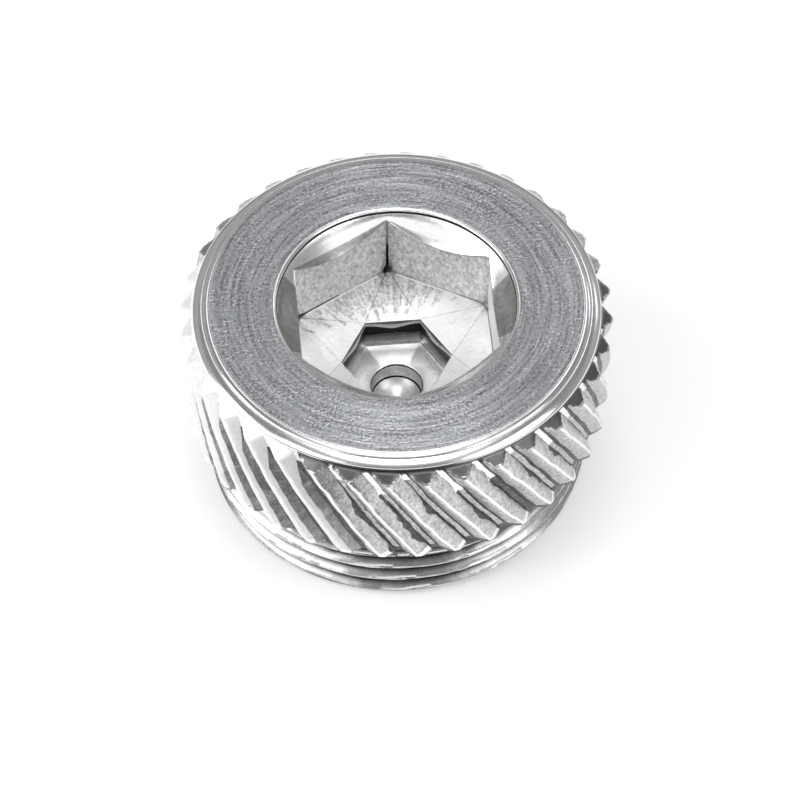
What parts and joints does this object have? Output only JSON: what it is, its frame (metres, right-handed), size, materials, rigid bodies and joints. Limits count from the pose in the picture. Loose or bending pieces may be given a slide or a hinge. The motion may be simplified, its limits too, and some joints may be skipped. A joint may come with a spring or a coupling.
{
  "type": "dust cap nut",
  "caption": "Round aluminium dust cap nut with a spirally knurled head, a short threaded shank and a stepped hexagon socket open to the top.",
  "frame": {"origin": "centre of the flat end of the threaded shank, at the bottom of the piece", "axes": "+Z along the thread axis towards the knurled head, with two flats of the large hexagon socket facing +X and -X"},
  "size_m": [0.022, 0.022, 0.0117],
  "materials": {
    "aluminium": "machined"
  },
  "bodies": {
    "root": {"dust_cap_nut": "aluminium"}
  },
  "joints": []
}
